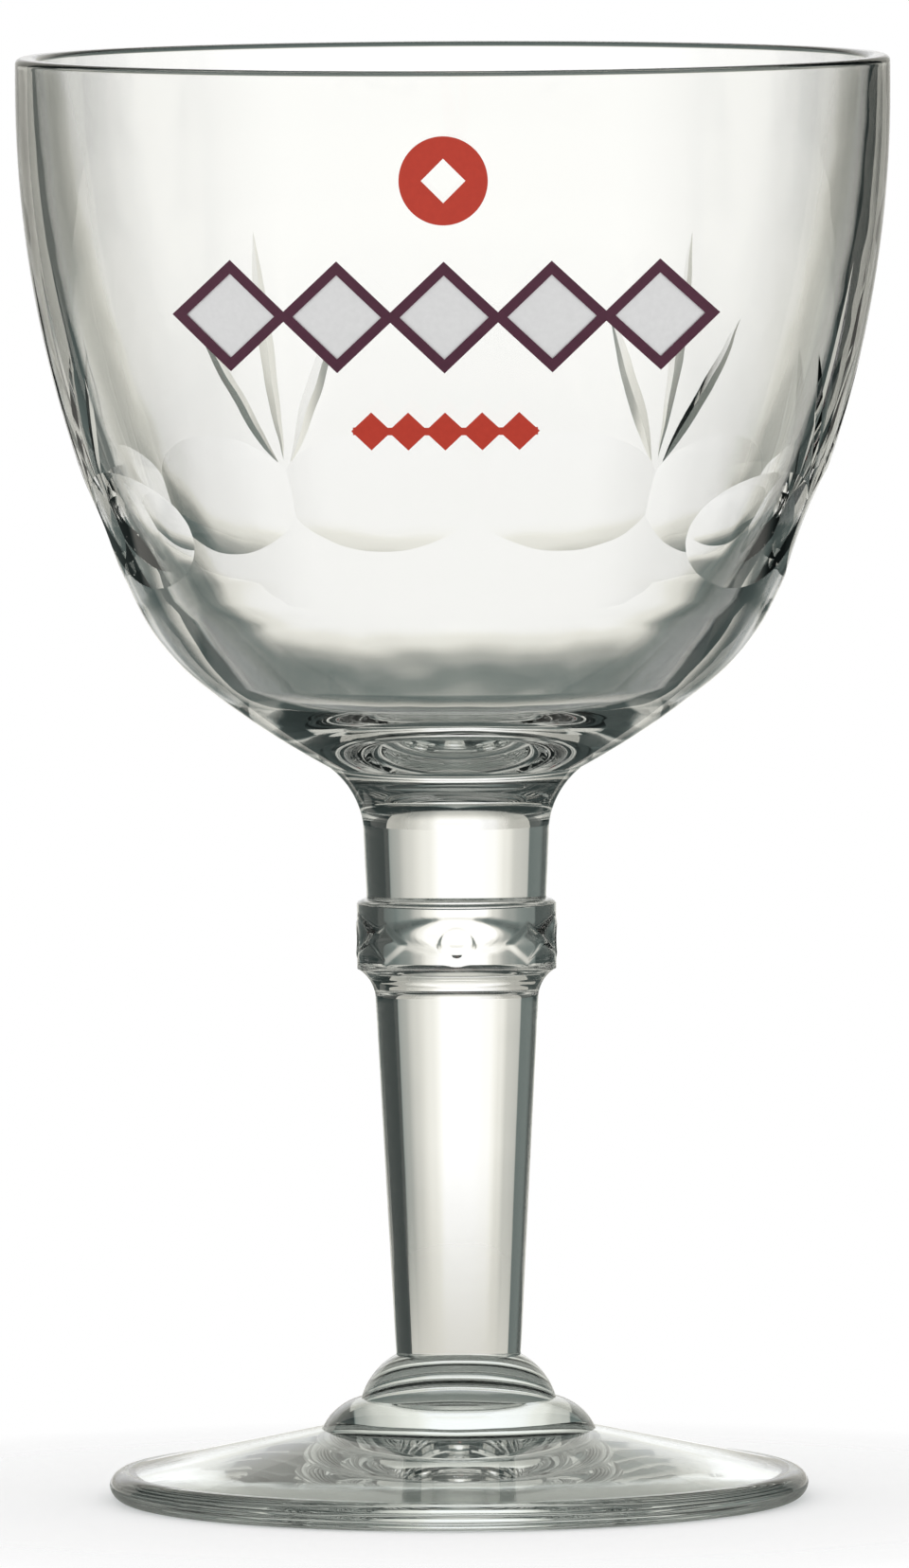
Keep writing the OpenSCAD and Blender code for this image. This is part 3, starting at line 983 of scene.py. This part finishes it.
def make_world():
    """White where the camera looks. The glass sees a lit screen behind it in a dim studio."""
    world = bpy.data.worlds.new("studio")
    bpy.context.scene.world = world
    world.use_nodes = True
    tree = world.node_tree
    tree.nodes.clear()
    way = add(tree, "ShaderNodeTexCoord")
    split = add(tree, "ShaderNodeSeparateXYZ", [("Vector", way.outputs["Generated"])])
    # 0 to 1 stands for -90 to 90 degrees, across from straight behind and up from the horizon
    azimuth = maths(tree, "ARCTAN2", split.outputs["X"], split.outputs["Y"])
    across = maths(tree, "MULTIPLY_ADD", azimuth, 1 / math.pi, 0.5)
    rising = maths(tree, "ARCSINE", split.outputs["Z"])
    height = maths(tree, "MULTIPLY_ADD", rising, 1 / math.pi, 0.5)
    aside = share_aside(tree, azimuth)

    along_x = maths(tree, "ABSOLUTE", split.outputs["X"])
    side_screens = lit_patch(tree, along_x, SIDE_SCREEN_WIDTH, height, SIDE_SCREEN_UP)
    lit = brightest(
        tree,
        [
            screen_light(tree, across, aside, height),
            maths(tree, "MULTIPLY", side_screens, SIDE_SCREEN_LEVEL),
            lit_patch(tree, aside, BESIDE_WALL_ASIDE, height, BESIDE_WALL_UP),
            lit_patch(tree, across, degrees(LEFT_WALL_ACROSS), height, LEFT_WALL_UP),
            lit_patch(tree, aside, FRONT_WALL_ASIDE, height, FRONT_WALL_UP),
        ],
    )
    plain = plain_rays(tree)
    colour = blended(tree, plain, studio_colour(tree, lit), linear("#FFFFFF"))
    level = maths(tree, "MULTIPLY_ADD", plain, 1 - SCREEN_LEVEL, SCREEN_LEVEL)
    light = add(tree, "ShaderNodeBackground", [("Color", colour), ("Strength", level)])
    out = add(tree, "ShaderNodeOutputWorld")
    tree.links.new(light.outputs["Background"], out.inputs["Surface"])


def make_camera():
    """A long lens at the photograph's height and distance."""
    data = bpy.data.cameras.new("camera")
    data.lens = CAMERA_LENS
    data.sensor_width = CAMERA_SENSOR_WIDTH
    data.clip_end = 100.0
    camera = bpy.data.objects.new("camera", data)
    bpy.context.scene.collection.objects.link(camera)
    camera.location = (CAMERA_AIM[0] * MM, -CAMERA_DISTANCE * MM, CAMERA_HEIGHT * MM)
    aim = Vector(CAMERA_AIM) * MM - camera.location
    straight_on = aim.to_track_quat("-Z", "Y").to_matrix().to_4x4()
    roll = Matrix.Rotation(math.radians(-CAMERA_ROLL), 4, "Z")
    camera.rotation_mode = "QUATERNION"
    camera.rotation_quaternion = (straight_on @ roll).to_quaternion()
    bpy.context.scene.camera = camera


glass = soda_lime_glass("soda_lime_glass", "#FDFDFC")
thick_glass = soda_lime_glass("thick_soda_lime_glass", "#F5FAF9")
weld = weld_plane()

bowl = make_bowl(glass, weld)
stem = make_stem(glass, weld)
foot = make_foot(thick_glass, weld)
for piece, node, slot in (
    (bowl, "bowl", "bowl_glass"),
    (stem, "stem", "stem_glass"),
    (foot, "foot", "foot_glass"),
):
    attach(piece, "root")
    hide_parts(node)

enamels = {
    "silver_print": fired_enamel("silver_enamel", "#E9E9EA", "#DEDEDF"),
    "plum_print": fired_enamel("plum_enamel", "#5B2640", "#4C1F36"),
    "red_badge": fired_enamel("red_enamel", "#CB3A24", "#BE321E"),
}
enamels["red_line"] = enamels["red_badge"]
for name, enamel in enamels.items():
    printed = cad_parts[name]
    printed.data.materials.clear()
    printed.data.materials.append(enamel)

make_floor()
make_card("right_card", *RIGHT_CARD, SIDE_CARD_HEIGHTS, "#2C3332")
make_card("left_card", *LEFT_CARD, SIDE_CARD_HEIGHTS, "#4A514F")
make_card("low_card", *LOW_CARD, LOW_CARD_HEIGHTS, "#E2E0D8", ("Z", LOW_DENSITIES))
make_card("veil", *LOW_CARD, SIDE_CARD_HEIGHTS, "#C4C3BB", ("X", VEIL_DENSITIES))
make_world()
make_camera()

scene = bpy.context.scene
scene.view_settings.view_transform = "Standard"
scene.cycles.max_bounces = 32
scene.cycles.transmission_bounces = 32
scene.cycles.glossy_bounces = 16
scene.cycles.transparent_max_bounces = 24
